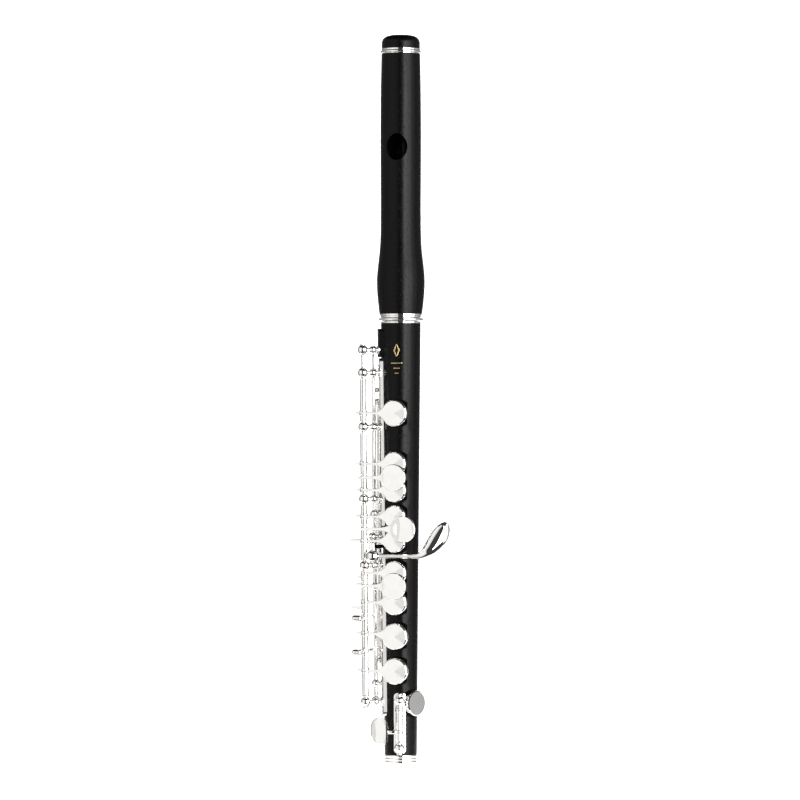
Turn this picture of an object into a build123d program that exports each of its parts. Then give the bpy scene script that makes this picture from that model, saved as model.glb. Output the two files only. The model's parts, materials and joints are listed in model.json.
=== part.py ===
from build123d import *

import os
from collections import namedtuple
from math import cos, radians, sin

# A piccolo in two joints, standing on its foot. +Z runs up the bore to the crown, -Y is the blowing
# side with the finger keys, and the key rods run along the -X side. Azimuths are measured round the
# bore from -X (0 degrees) towards -Y (90 degrees), so the back of the instrument is at -90.
# Everything is in millimetres.

# Wood of the body joint
body_height = 193.3  # foot face to the shoulder under the head joint
shoulder_radius = 8.81
foot_radius = 7.14
foot_ring_height = 4.0
foot_bore_radius = 4.5
foot_bore_length = 14.0  # straight stretch of the bore at the foot
top_bore_radius = 5.3
tenon_length = 20.0
tenon_radius = 7.1
block_bottom = 178.4  # raised wooden block that carries the top posts
block_top = 190.9
block_height = 1.6
block_width = 12.0
foot_ring_wall = 0.6
foot_ring_lip = 0.8
foot_ring_proud = 0.04
foot_groove = 0.12  # depth and width of the two fine lines round the foot ring
foot_groove_width = 0.2
cork_depth = 0.7
cork_proud = 0.15
cork_inset = 5.0  # from the shoulder to the cork on the tenon
cork_length = 11.0
body_ring_height = 0.85
body_ring_proud = 0.09

# Head joint, heights measured from the lower end of its wood
ring_stack_height = 4.2  # metal rings between body shoulder and head wood
head_wood_length = 114.1
head_bore_radius = 5.5
head_profile = [  # outer radius of its wood and the height above its lower end
    (9.5, 0.0), (10.32, 7.5), (10.63, 14.3), (10.15, 21.0), (9.38, 27.7),
    (8.92, 38.5), (8.96, 62.5), (8.87, 98.3), (8.57, head_wood_length),
]
ring_band_proud = 0.62  # band and bead of the head ring, beyond the body's shoulder
ring_bead_proud = 1.34
ring_bead_height = 1.75  # middle of the bead above the shoulder
ring_bead_length = 1.5
embouchure_height = 72.9
embouchure_length = 11.8
embouchure_width = 9.3
stopper_distance = 7.5  # embouchure centre to stopper plate
stopper_cork_length = 8.0
crown_ring_height = 2.3
crown_ring_radius = 8.6
crown_bead_radius = 9.0
crown_height = 6.1
crown_radius = 8.44
crown_straight = 2.2  # height of its side before the dome starts
crown_plug_length = 4.5
crown_roof = 1.6  # metal above the threaded hole
stopper_thread_radius = 1.5
stopper_plate_thickness = 0.6
stopper_travel = 2.4
stopper_nut_radius = 4.2
stopper_nut_height = 1.4

# Metal work
rib_thickness = 1.2
rib_width = 10.0
rib_azimuth = 4.0
rib_bottom = 20.7
rib_top = 178.0
rib_gap_bottom = 92.4  # the G sharp arm passes between the two ribs here
rib_gap_top = 97.6
tube_radius = 1.6
trill_tube_radius = 1.05
rod_radius = 0.75
trill_rod_radius = 0.55
ball_radius = 2.3
ball_flat = 2.1  # half the distance between the two flats milled on a post ball
stem_radius = 1.0
post_foot_radius = 1.9
post_foot_height = 0.8
screw_radius = 1.2
screw_head_height = 0.6
screw_proud = 0.2  # head of a rib screw above its rib
screw_slot = 0.3
rib_screw_azimuth = 12.0
rib_screw_pitch = 26.0
rib_screw_inset = 4.0
spring_radius = 0.2
spring_drop = 1.1  # needle springs below their tube

# Pads, cups and touches
pad_thickness = 1.7
pad_proud = 0.4  # pad face below the rim of its cup
cup_wall = 0.7
cup_back = 0.9
seat_drop = 0.3  # tone hole seat below the crest of the wood
seat_ring_width = 0.9
bed_depth = 1.3
bed_margin = 0.7
hole_margin = 2.3  # cup radius less tone hole radius
plate_thickness = 1.0
arm_neck = 1.3
neck_reach = 3.2  # from a cup's rim to where its arm starts to flare
flare_angle = 50.0  # where the flare meets the rim
flare_fullness = 0.27
touch_radius = 5.9
touch_thickness = 1.1
touch_lift = 0.3  # air between a cup and the touch above it
thumb_lift = 0.8  # thumb touches above the height of the finger touches

# Clearances
fit = 0.05  # radial, shaft in tube, plug in bore, pad in cup
socket_end_gap = 0.7  # between the tenon's end and the bottom of its socket
stopper_end_gap = 0.3
seat_gap = 0.02  # between fixed faces that meet
pad_gap = 0.1  # between a closed pad and its seat
key_gap = 0.1  # between the ends of neighbouring tubes

# Angles, degrees
main_open_angle = 8.0
thumb_open_angle = 9.0

# Rod lines: each runs parallel to the body's surface at a set azimuth and height above it
RodLine = namedtuple("RodLine", "azimuth standoff")
main_line = RodLine(30.8, 8.9)
d_trill_line = RodLine(-3.6, 3.95)
d_sharp_trill_line = RodLine(-22.3, 3.43)
g_sharp_line = RodLine(30.1, 5.04)
thumb_line = RodLine(-51.9, 4.71)
e_flat_line = RodLine(99.1, 2.87)

# Keys of the main line, from the top: tube ends, cup height and radius, height of the arm
MainKey = namedtuple("MainKey", "top bottom cup_z cup_r arm_z tails")
main_keys = {
    "c": MainKey(169.2, 150.2, 153.8, 5.8, 153.8, [(153.8, 2.3)]),
    "b_flat": MainKey(145.5, 127.0, 131.7, 5.3, 131.7, [(131.7, 2.3)]),
    "a": MainKey(126.9, 118.8, 120.2, 5.3, 120.2, [(120.2, 2.3), (125.4, 1.6)]),
    "g_upper": MainKey(113.9, 105.0, 108.6, 5.0, 108.6, [(108.6, 2.3)]),
    "g": MainKey(104.9, 89.4, 97.9, 5.0, 97.9, [(98.0, 5.2)]),
    "f_sharp": MainKey(84.8, 80.0, 84.0, 5.3, 83.9, [(82.0, 1.8)]),
    "f": MainKey(79.9, 66.0, 71.1, 5.5, 71.1, [(78.9, 2.6), (68.5, 4.6)]),
    "e": MainKey(65.9, 48.0, 56.3, 5.8, 57.4, [(57.4, 2.3)]),
    "d": MainKey(47.9, 29.6, 41.1, 5.8, 41.1, [(41.1, 2.3)]),
}
# Raised round finger touches, carried by the lower key of a pair: x, height up the bore
touches = {"a": (0.0, 125.7), "g": (4.4, 103.2), "f": (0.0, 78.3)}

main_post_heights = [181.6, 171.6, 147.9, 116.3, 87.1, 27.3]
main_rod_split = 116.3
d_trill_post_heights = [181.6, 171.6, 27.3]
d_trill_guide_heights = [147.9, 109.5, 77.5, 34.9]
d_sharp_trill_post_heights = [158.5, 44.5]
thumb_post_heights = [146.9, 116.0]
g_sharp_post_height = 99.8
e_flat_post_heights = [7.4, 28.2]
back_ball_radius = 1.9
main_springs = {1: -15.5, 2: -13.5, 3: -8.5, 5: 14.0}  # post number: length along the tube
thumb_split = 129.8
thumb_touch_heights = [123.6, 131.8]

# Side and back keys: azimuth of the tone hole, its height and the cup's radius
SideCup = namedtuple("SideCup", "azimuth z radius")
d_trill_cup = SideCup(-50.0, 164.0, 3.5)
d_sharp_trill_cup = SideCup(-75.0, 152.0, 3.4)
g_sharp_cup = SideCup(-75.0, 95.2, 4.6)
thumb_cup = SideCup(-90.0, 139.8, 5.2)
e_flat_cup = SideCup(150.0, 26.8, 5.6)

d_trill_touch_z = 64.1
d_sharp_trill_touch_z = 49.2
trill_touch_radius = 1.55
trill_touch_length = 2.25  # between the centres of its round ends
g_sharp_lever_z = 91.3
g_sharp_hub_radius = 2.05
g_sharp_button_radius = 2.8
lever_lift = 2.2  # middle of the G sharp lever above the wood
lever_thickness = 1.3
lever_width = 1.9
arm_thickness = 0.9
arm_width = 2.2
e_flat_arm_z = 24.2
e_flat_arm_thickness = 1.1
e_flat_touch_z = 14.5
e_flat_touch_width = 8.6
e_flat_touch_length = 12.8
e_flat_touch_lift = 4.1

# Leaf of the G sharp spoon, from its root round the tip: right of the body, above the lever
spoon_outline = [
    (0.8, -0.95), (2.6, -1.2), (5.9, -0.75), (9.4, 0.8), (12.9, 4.0), (15.1, 8.0), (15.8, 11.6),
    (15.3, 14.0), (13.8, 15.3), (12.1, 15.1), (10.1, 13.7), (7.2, 9.8), (5.0, 5.3), (3.2, 1.8),
    (0.8, 0.95),
]
spoon_bend = 25.0

saddle_azimuth = e_flat_line.azimuth
saddle_bottom = 5.0
saddle_top = 31.4
saddle_width = 5.1
saddle_thickness = 1.0
saddle_screw_heights = [11.6, 24.0]
saddle_screw_radius = 0.9

bottom_up = (Align.CENTER, Align.CENTER, Align.MIN)
head_base = body_height + ring_stack_height
embouchure_z = head_base + embouchure_height
socket_radius = tenon_radius + cork_proud + fit
socket_end = body_height + tenon_length + socket_end_gap
cork_bottom = body_height + cork_inset
stopper_plate_z = embouchure_z + stopper_distance
cup_height = pad_thickness + cup_back
cup_top = pad_gap - seat_drop + cup_height  # back of a closed cup above the wood
touch_height = cup_top + touch_lift  # above the crest of the wood


def body_radius(z):
    """Outer radius of the body joint, a straight taper from shoulder to foot ring."""
    slope = (shoulder_radius - foot_radius) / (body_height - foot_ring_height)
    return foot_radius + (z - foot_ring_height) * slope


def outward(azimuth):
    return Vector(-cos(radians(azimuth)), -sin(radians(azimuth)), 0)


def above_body(azimuth, z, height):
    return outward(azimuth) * (body_radius(z) + height) + Vector(0, 0, z)


def seat_plane(azimuth, z, height):
    """Plane facing outward over the wood, with its own y up the bore."""
    out = outward(azimuth)
    return Plane(above_body(azimuth, z, height), x_dir=(-out.Y, out.X, 0), z_dir=out)


def line_point(line, z):
    return above_body(line.azimuth, z, line.standoff)


def line_axis(line, z):
    return Axis(line_point(line, z), line_point(line, z + 1) - line_point(line, z))


def along(line, bottom, top, radius):
    """Round bar on a rod line between two heights."""
    start = line_point(line, bottom)
    run = line_point(line, top) - start
    return Plane(start, z_dir=run) * Cylinder(radius, run.length, align=bottom_up)


def body_cone(height):
    """Solid of the body's taper, grown outward by a height."""
    low, high = -20.0, body_height + 20.0
    return Pos(0, 0, low) * Cone(
        body_radius(low) + height, body_radius(high) + height, high - low, align=bottom_up
    )


def strap(azimuth, bottom, top, width, corner, low, high):
    """Curved plate on the wood: the shell between two heights, cut to a rounded outline."""
    middle = seat_plane(azimuth, (bottom + top) / 2, -body_radius(body_height) / 2)
    outline = extrude(middle * RectangleRounded(width, top - bottom, corner), shoulder_radius * 2)
    return (body_cone(high) - body_cone(low)) & outline


def band(points, thickness, z, width):
    """Flat arm that bends in a plane square to the bore, through the given points."""
    path = [Vector(point.X, point.Y, 0) for point in points]
    arm = None
    for start, end in zip(path, path[1:]):
        middle = (start + end) / 2
        run = Plane((middle.X, middle.Y, z), x_dir=end - start, z_dir=(0, 0, 1))
        piece = run * Box((end - start).length, thickness, width)
        piece += Pos(end.X, end.Y, z) * Cylinder(thickness / 2, width)
        arm = piece if arm is None else arm + piece
    return arm


def capsule(start, end, radius):
    """Round bar with domed ends."""
    run = end - start
    bar = Plane(start, z_dir=run) * Cylinder(radius, run.length, align=bottom_up)
    return bar + Pos(start) * Sphere(radius) + Pos(end) * Sphere(radius)


def post(line, z, radius, flat, carrier_height, bore):
    """Turned post: foot, stem and a ball with two flats, drilled along its rod line."""
    foot = seat_plane(line.azimuth, z, 0) * Cylinder(
        post_foot_radius, carrier_height + post_foot_height, align=bottom_up
    )
    stem = seat_plane(line.azimuth, z, 0) * Cylinder(stem_radius, line.standoff, align=bottom_up)
    ball = Pos(line_point(line, z)) * Sphere(radius)
    ball &= along(line, z - flat, z + flat, radius * 2)
    turned = foot + stem + ball - body_cone(carrier_height + seat_gap)
    return turned - along(line, z - radius * 2, z + radius * 2, bore)


def cup_shell(azimuth, z, radius):
    """Pad cup over a closed tone hole, open towards the wood."""
    face = seat_plane(azimuth, z, pad_gap - seat_drop)
    shell = Cylinder(radius, cup_height - pad_proud, align=bottom_up)
    shell = chamfer(shell.edges().group_by(Axis.Z)[-1], cup_back / 2)
    shell -= Cylinder(radius - cup_wall, pad_thickness - pad_proud, align=bottom_up)
    return face * (Pos(0, 0, pad_proud) * shell)


def pad(azimuth, z, radius):
    face = seat_plane(azimuth, z, pad_gap - seat_drop)
    return face * Cylinder(radius - cup_wall - fit, pad_thickness - seat_gap, align=bottom_up)


def teardrop_arm(root, cup_z, cup_r, arm_z):
    """Plate from a rod to a cup: a thin neck that flares tangentially into the cup's rim."""
    plane = seat_plane(90, cup_z, cup_top - cup_back)
    offset = arm_z - cup_z
    half = arm_neck / 2
    neck_x = -cup_r - neck_reach
    rim_x, rim_y = -cup_r * cos(radians(flare_angle)), cup_r * sin(radians(flare_angle))
    middle_x = (neck_x + rim_x) / 2
    middle_y = half + flare_fullness * (rim_y - half)
    outline = Curve() + [
        Line((root, offset + half), (neck_x, offset + half)),
        ThreePointArc((neck_x, offset + half), (middle_x, middle_y + offset / 2), (rim_x, rim_y)),
        Line((rim_x, rim_y), (0, 0)),
        Line((0, 0), (rim_x, -rim_y)),
        ThreePointArc((rim_x, -rim_y), (middle_x, offset / 2 - middle_y), (neck_x, offset - half)),
        Line((neck_x, offset - half), (root, offset - half)),
        Line((root, offset - half), (root, offset + half)),
    ]
    return extrude(plane * make_face(outline), cup_back) + riser(arm_z, cup_top)


def riser(z, height):
    """Web from the middle of the main tube out to the front of an arm."""
    root = line_point(main_line, z)
    depth = body_radius(z) + height + root.Y
    return Pos(root - Vector(0, depth / 2, 0)) * Box(tube_radius, depth, arm_neck)


def finger_touch(x, z):
    """Round touch on a tapered arm from the main tube."""
    root = line_point(main_line, z).X
    plane = seat_plane(90, z, touch_height)
    disc = Cylinder(touch_radius, touch_thickness, align=bottom_up)
    disc = chamfer(disc.edges(), touch_thickness / 3)
    arm = Polygon(
        (root - tube_radius / 2, arm_neck / 2),
        (root - tube_radius / 2, -arm_neck / 2),
        (x, -touch_radius * 0.6),
        (x, touch_radius * 0.6),
        align=None,
    )
    tongue = plane * extrude(arm, touch_thickness)
    return plane * (Pos(x, 0, 0) * disc) + tongue + riser(z, touch_height + touch_thickness)


def tail(z, length):
    """Short lug behind a main tube that stops the key when it opens."""
    start = line_point(main_line, z)
    end = start - Vector(tube_radius + length - arm_neck / 2, 0, 0)
    return band([start, end], plate_thickness, z, arm_neck)


def open_rest(shape, line, angle):
    """Turns a key from its closed position, in which it is drawn, to its open rest."""
    return shape.rotate(line_axis(line, 0), angle)


def make_main_key(name, key):
    root = line_point(main_line, key.arm_z).X
    shape = along(main_line, key.bottom, key.top - key_gap, tube_radius)
    shape += teardrop_arm(root, key.cup_z, key.cup_r, key.arm_z)
    shape += cup_shell(90, key.cup_z, key.cup_r)
    if name in touches:
        shape += finger_touch(*touches[name])
    for z, length in key.tails:
        shape += tail(z, length)
    shape -= seat_plane(90, key.cup_z, pad_gap - seat_drop) * Cylinder(
        key.cup_r - cup_wall, pad_thickness, align=bottom_up
    )
    shape -= along(main_line, key.bottom - 1, key.top + 1, rod_radius + fit)
    return open_rest(shape, main_line, -main_open_angle)


def make_body():
    """Wooden body joint: tapered tube, tenon, post block, tone holes with sunken seats."""
    wood = Pos(0, 0, foot_ring_height) * Cone(
        foot_radius, shoulder_radius, body_height - foot_ring_height, align=bottom_up
    )
    foot_plug_radius = foot_radius - foot_ring_wall
    wood += Pos(0, 0, foot_ring_lip) * Cylinder(
        foot_plug_radius, foot_ring_height - foot_ring_lip + seat_gap, align=bottom_up
    )
    wood += strap(rib_azimuth, block_bottom, block_top, block_width, 2.0, -2.0, block_height)
    wood += Pos(0, 0, body_height) * Cylinder(tenon_radius, tenon_length, align=bottom_up)
    groove = Cylinder(tenon_radius + 1, cork_length, align=bottom_up)
    groove -= Cylinder(tenon_radius - cork_depth, cork_length, align=bottom_up)
    wood -= Pos(0, 0, cork_bottom) * groove
    bore_top = body_height + tenon_length
    wood -= Cylinder(foot_bore_radius, foot_bore_length, align=bottom_up)
    wood -= Pos(0, 0, foot_bore_length) * Cone(
        foot_bore_radius, top_bore_radius, bore_top - foot_bore_length, align=bottom_up
    )
    cups = [SideCup(90, key.cup_z, key.cup_r) for key in main_keys.values()]
    cups += [d_trill_cup, d_sharp_trill_cup, g_sharp_cup, thumb_cup, e_flat_cup]
    for cup in cups:
        wood -= tone_hole(cup)
    return wood


def tone_hole(cup):
    """What is cut away for one pad: a flat bed, the top of its seat ring and the hole itself."""
    hole = cup.radius - hole_margin
    bed = Cylinder(cup.radius + bed_margin, bed_depth + 3, align=bottom_up)
    bed -= Cylinder(hole + seat_ring_width, bed_depth - seat_drop, align=bottom_up)
    cut = seat_plane(cup.azimuth, cup.z, -bed_depth) * bed
    depth = body_radius(cup.z)
    cut += seat_plane(cup.azimuth, cup.z, -depth) * Cylinder(hole, depth + 1, align=bottom_up)
    return cut


def turned(points):
    """Solid of revolution about the bore, from a closed outline of (radius, height) corners."""
    return revolve(Plane.XZ * make_face(Polyline(*points, close=True)), Axis.Z)


def make_foot_ring():
    radius = foot_radius + foot_ring_proud
    ring = Cylinder(radius, foot_ring_height - seat_gap, align=bottom_up)
    ring = fillet(ring.edges().group_by(Axis.Z)[0], 0.5)
    for z in (foot_ring_height * 0.45, foot_ring_height * 0.8):
        line = Cylinder(radius + 1, foot_groove_width)
        line -= Cylinder(radius - foot_groove, foot_groove_width)
        ring -= Pos(0, 0, z) * line
    plug = Cylinder(foot_radius - foot_ring_wall + seat_gap, foot_ring_height, align=bottom_up)
    ring -= Pos(0, 0, foot_ring_lip - seat_gap) * plug
    return ring - Cylinder(foot_bore_radius, foot_ring_height, align=bottom_up)


def make_tenon_cork():
    outer = Cylinder(tenon_radius + cork_proud, cork_length - 2 * seat_gap, align=bottom_up)
    inner = Cylinder(tenon_radius - cork_depth + seat_gap, cork_length, align=bottom_up)
    return Pos(0, 0, cork_bottom + seat_gap) * (outer - inner)


def make_body_ring():
    height = body_ring_height - seat_gap
    ring = Cylinder(shoulder_radius + body_ring_proud, height, align=bottom_up)
    ring = fillet(ring.edges().group_by(Axis.Z)[-1], 0.2)
    hole = Cylinder(tenon_radius + seat_gap, height, align=bottom_up)
    return Pos(0, 0, body_height + seat_gap) * (ring - hole)


def make_head_ring():
    """Ferrule of the head socket: a band above, a groove and a round bead below."""
    low = body_height + body_ring_height + pad_gap
    high = head_base - seat_gap
    band_radius = shoulder_radius + ring_band_proud
    ring = turned([
        (socket_radius, low), (band_radius - 0.4, low), (band_radius - 0.4, high - 1.0),
        (band_radius, high - 0.9), (band_radius, high), (socket_radius, high),
    ])
    bead_radius = shoulder_radius + ring_bead_proud
    bead = Cylinder(bead_radius, ring_bead_length) - Cylinder(socket_radius, ring_bead_length)
    outer_edges = bead.edges().filter_by(GeomType.CIRCLE).sort_by(SortBy.RADIUS)[-2:]
    return ring + Pos(0, 0, body_height + ring_bead_height) * chamfer(outer_edges, 0.4)


def make_head():
    """Wooden head joint: swollen over its socket, straight above, with the embouchure hole."""
    top = head_base + head_wood_length
    edge = Spline(*[(radius, head_base + height) for radius, height in head_profile])
    outline = Curve() + [
        edge, Line(edge @ 1, (0, top)), Line((0, top), (0, head_base)),
        Line((0, head_base), edge @ 0),
    ]
    wood = revolve(Plane.XZ * make_face(outline), Axis.Z)
    wood -= Pos(0, 0, head_base) * Cylinder(socket_radius, socket_end - head_base, align=bottom_up)
    wood -= Pos(0, 0, head_base) * Cylinder(head_bore_radius, head_wood_length + 1, align=bottom_up)
    hole = Plane((0, 0, embouchure_z), x_dir=(1, 0, 0), z_dir=(0, -1, 0)) * Ellipse(
        embouchure_width / 2, embouchure_length / 2
    )
    return wood - extrude(hole, 20)


def make_crown_ring():
    low = head_base + head_wood_length + seat_gap
    high = low + crown_ring_height - seat_gap
    return turned([
        (head_bore_radius, low), (crown_ring_radius, low), (crown_bead_radius, low + 0.4),
        (crown_bead_radius, low + 0.9), (crown_ring_radius, low + 1.2),
        (crown_ring_radius, high), (head_bore_radius, high),
    ])


def make_crown():
    """Domed screw cap with a plug in the head bore and a blind threaded hole."""
    base = head_base + head_wood_length + crown_ring_height + key_gap
    top = base + crown_height - key_gap
    dome = Curve() + [
        Line((0, base), (crown_radius, base)),
        Line((crown_radius, base), (crown_radius, base + crown_straight)),
        Spline(
            (crown_radius, base + crown_straight), (0, top), tangents=[(0, 1), (-1, 0)],
        ),
        Line((0, top), (0, base)),
    ]
    cap = revolve(Plane.XZ * make_face(dome), Axis.Z)
    cap += Pos(0, 0, base - crown_plug_length) * Cylinder(
        head_bore_radius - 3 * fit, crown_plug_length + 1, align=bottom_up
    )
    hole = Cylinder(stopper_thread_radius + fit, crown_plug_length + crown_height - crown_roof,
                    align=bottom_up)
    return cap - Pos(0, 0, base - crown_plug_length) * hole


def make_stopper_rod():
    """Reflector plate and the threaded rod behind it, which reaches into the crown."""
    crown_base = head_base + head_wood_length + crown_ring_height
    top = crown_base + crown_height - crown_roof - stopper_end_gap - stopper_travel
    plate = Cylinder(head_bore_radius - fit, stopper_plate_thickness, align=bottom_up)
    rod = Cylinder(stopper_thread_radius, top - stopper_plate_z, align=bottom_up)
    return Pos(0, 0, stopper_plate_z) * (plate + rod)


def stopper_collar(low, high, radius):
    ring = Cylinder(radius, high - low, align=bottom_up)
    ring -= Cylinder(stopper_thread_radius + seat_gap, high - low, align=bottom_up)
    return Pos(0, 0, low) * ring


def make_ribs():
    """Two curved silver straps under the rods, parted where the G sharp arm passes."""
    spans = {"lower": (rib_bottom, rib_gap_bottom), "upper": (rib_gap_top, rib_top)}
    ribs = {}
    for name, (low, high) in spans.items():
        rib = strap(rib_azimuth, low, high, rib_width, 2.2, seat_gap, rib_thickness)
        for azimuth, z in rib_screw_places(low, high):
            rib -= seat_plane(azimuth, z, 0) * Cylinder(screw_radius + seat_gap, 10)
        ribs[name] = rib
    return ribs


def rib_screw_places(low, high):
    """Azimuth and height of the small screws, spread along a rib between its posts."""
    length = high - low - 2 * rib_screw_inset
    count = max(2, round(length / rib_screw_pitch) + 1)
    step = length / (count - 1)
    return [(rib_screw_azimuth, low + rib_screw_inset + step * number) for number in range(count)]


def screw(azimuth, z, low, high):
    """Slotted screw whose head fills its hole up to a height above the wood."""
    head = seat_plane(azimuth, z, low) * Cylinder(screw_radius, high - low, align=bottom_up)
    slot = seat_plane(azimuth, z, high) * Box(screw_radius * 3, screw_slot, screw_slot * 2)
    return head - slot


def ends_of(line, low, high):
    """Slotted heads just outside the balls at both ends of a rod."""
    heads = []
    for z, step in ((low, -1), (high, 1)):
        near, far = z + step * (ball_flat + seat_gap), z + step * (ball_flat + screw_head_height)
        heads.append(along(line, min(near, far), max(near, far), screw_radius))
    return heads


def spring(z, length):
    """Needle spring from a post stem along the main tube, between tube and rib."""
    step = 1 if length > 0 else -1
    start = z + step * (stem_radius + 2 * seat_gap)
    needle = RodLine(main_line.azimuth, main_line.standoff - tube_radius - spring_drop)
    return along(needle, min(start, z + length), max(start, z + length), spring_radius)


def make_g_sharp_key():
    """Hub with a round button, lever across the front to a leaf-shaped spoon, arm to its cup."""
    z = g_sharp_lever_z
    hub_centre = line_point(g_sharp_line, z)
    low = main_post_heights[4] + ball_flat + key_gap
    high = g_sharp_post_height - back_ball_radius - key_gap
    key = along(g_sharp_line, low, high, tube_radius) + Pos(hub_centre) * Sphere(g_sharp_hub_radius)
    bar_y = -body_radius(z) - lever_lift
    button = Vector(hub_centre.X + 0.9, bar_y - 1.1, z)
    bar_end = Vector(body_radius(z) + 2.0, bar_y, z)
    key += Pos(button) * Sphere(g_sharp_button_radius)
    key += band([hub_centre, button], lever_thickness, z, lever_width)
    key += band([Vector(button.X, bar_y, z), bar_end], lever_thickness, z, lever_width)
    key += g_sharp_spoon(bar_y)
    key += band(
        [
            line_point(g_sharp_line, g_sharp_cup.z),
            above_body(8, g_sharp_cup.z, 0.85),
            above_body(-12, g_sharp_cup.z, 0.8),
            above_body(-30, g_sharp_cup.z, 0.75),
            above_body(-50, g_sharp_cup.z, 1.4),
            above_body(g_sharp_cup.azimuth, g_sharp_cup.z, cup_top - arm_thickness / 2),
        ],
        arm_thickness, g_sharp_cup.z, arm_width,
    )
    return finish_side_key(key, g_sharp_line, g_sharp_cup, low, high, rod_radius)


def g_sharp_spoon(bar_y):
    """Leaf-shaped touch, bent round the right-hand side of the body."""
    side, z = body_radius(g_sharp_lever_z), g_sharp_lever_z
    leaf_edge = Spline(*[(side + x, z + rise) for x, rise in spoon_outline])
    face = make_face(Curve() + [leaf_edge, Line(leaf_edge @ 1, leaf_edge @ 0)])
    leaf = extrude(Plane((0, 0, 0), x_dir=(1, 0, 0), z_dir=(0, -1, 0)) * face, spoon_bend)
    centre = Vector(side, bar_y + spoon_bend, z)
    shell = Cylinder(spoon_bend + touch_thickness / 2, spoon_bend * 2)
    shell -= Cylinder(spoon_bend - touch_thickness / 2, spoon_bend * 2)
    return leaf & (Pos(centre) * shell)


def finish_side_key(key, line, cup, low, high, rod):
    """Adds the cup, clears the space for its pad and drills the key for its rod."""
    key += cup_shell(cup.azimuth, cup.z, cup.radius)
    key -= seat_plane(cup.azimuth, cup.z, -body_radius(cup.z) / 2) * Cylinder(
        cup.radius - cup_wall, body_radius(cup.z) / 2 + pad_gap - seat_drop + pad_thickness,
        align=bottom_up,
    )
    return key - along(line, low - 2, high + 2, rod + fit)


def side_arm(line, cup, z, thickness):
    """Straight arm from a side key's tube to the back of its cup."""
    end = above_body(cup.azimuth, cup.z, cup_top - thickness / 2)
    return band([line_point(line, z), end], thickness, z, arm_width)


def make_trill_key(line, low, high, cup, touch_z, first_bend):
    """Long tube with a small cup behind and an arm round the main tube to a round touch."""
    key = along(line, low, high, trill_tube_radius)
    key += side_arm(line, cup, cup.z, arm_thickness)
    main = line_point(main_line, touch_z)
    touch_end = main + Vector(-2.25, -4.6, 0)
    corners = [first_bend, main + Vector(-4.6, 3.0, 0), main + Vector(-4.6, -2.5, 0)]
    key += band([line_point(line, touch_z), *corners, touch_end], arm_thickness + 0.1, touch_z, 1.8)
    key += capsule(touch_end, touch_end + Vector(trill_touch_length, 0, 0), trill_touch_radius)
    return finish_side_key(key, line, cup, low, high, trill_rod_radius)


def thumb_plate(z):
    """Oval thumb touch on the back, with its arm from the thumb rod."""
    plane = seat_plane(-90, z, touch_height + thumb_lift)
    plate = plane * extrude(Pos(1.0, 0) * Ellipse(4.2, 3.3), touch_thickness)
    root = line_point(thumb_line, z)
    rise = above_body(-90, z, touch_height + thumb_lift + touch_thickness / 2)
    arm = band([root, Vector(root.X + 1.4, rise.Y, z), rise], touch_thickness, z, 1.8)
    return plate + arm


def make_thumb_key(low, high, touch_z, cup):
    key = along(thumb_line, low, high, tube_radius - 0.2) + thumb_plate(touch_z)
    if cup is None:
        key -= along(thumb_line, low - 2, high + 2, rod_radius + fit)
    else:
        key += side_arm(thumb_line, cup, cup.z, arm_thickness)
        key = finish_side_key(key, thumb_line, cup, low, high, rod_radius)
    return open_rest(key, thumb_line, thumb_open_angle)


def make_e_flat_key():
    """Foot key: tube on its own saddle, a sprung-shut cup to the right and an oval touch left."""
    low = e_flat_post_heights[0] + ball_flat + key_gap
    high = e_flat_post_heights[1] - ball_flat - key_gap
    key = along(e_flat_line, low, high, tube_radius + 0.1)
    key += side_arm(e_flat_line, e_flat_cup, e_flat_arm_z, e_flat_arm_thickness)
    touch_z = e_flat_touch_z
    touch_middle = Vector(-7.1, -body_radius(touch_z) - e_flat_touch_lift, touch_z)
    normal = outward(75)
    plane = Plane(touch_middle, x_dir=(-normal.Y, normal.X, 0), z_dir=normal)
    oval = Ellipse(e_flat_touch_width / 2, e_flat_touch_length / 2)
    key += extrude(plane * oval, touch_thickness / 2, both=True)
    root = line_point(e_flat_line, touch_z)
    key += band([root, root + Vector(-2.2, -1.2, 0), touch_middle], 1.2, touch_z, 2.0)
    return finish_side_key(key, e_flat_line, e_flat_cup, low, high, rod_radius)


def make_posts():
    """All posts by node, cut to sit on the rib, the wooden block or the bare wood."""
    def one(line, z, radius, flat, bore):
        on_block = block_bottom < z < block_top
        carrier = block_height if on_block else rib_thickness
        return post(line, z, radius, flat, carrier, bore)

    main = [one(main_line, z, ball_radius, ball_flat, rod_radius + seat_gap)
            for z in main_post_heights]
    shared = main_post_heights[4]
    lug = Pos(line_point(g_sharp_line, shared)) * Sphere(back_ball_radius)
    lug &= along(g_sharp_line, shared - ball_flat, shared + ball_flat, ball_radius * 2)
    main[4] = main[4] + lug - along(g_sharp_line, shared - 4, shared + 4, rod_radius + seat_gap)
    trill = [one(d_trill_line, z, ball_radius - 0.2, ball_flat - 0.2, trill_rod_radius + seat_gap)
             for z in d_trill_post_heights]
    guide_flat = trill_tube_radius
    trill += [one(d_trill_line, z, back_ball_radius, guide_flat, trill_tube_radius + fit)
              for z in d_trill_guide_heights]
    flat = back_ball_radius - 0.2
    for z in d_sharp_trill_post_heights:
        trill.append(post(d_sharp_trill_line, z, back_ball_radius, flat, rib_thickness,
                          trill_rod_radius + seat_gap))
    g_sharp = one(g_sharp_line, g_sharp_post_height, back_ball_radius, flat, rod_radius + seat_gap)
    thumb = [post(thumb_line, z, back_ball_radius, flat, 0, rod_radius + seat_gap)
             for z in thumb_post_heights]
    foot = [post(e_flat_line, z, ball_radius, ball_flat, saddle_thickness, rod_radius + seat_gap)
            for z in e_flat_post_heights]
    return {"main_posts": main, "trill_posts": trill, "g_sharp_post": [g_sharp],
            "thumb_posts": thumb, "foot_key_posts": foot}


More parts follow.
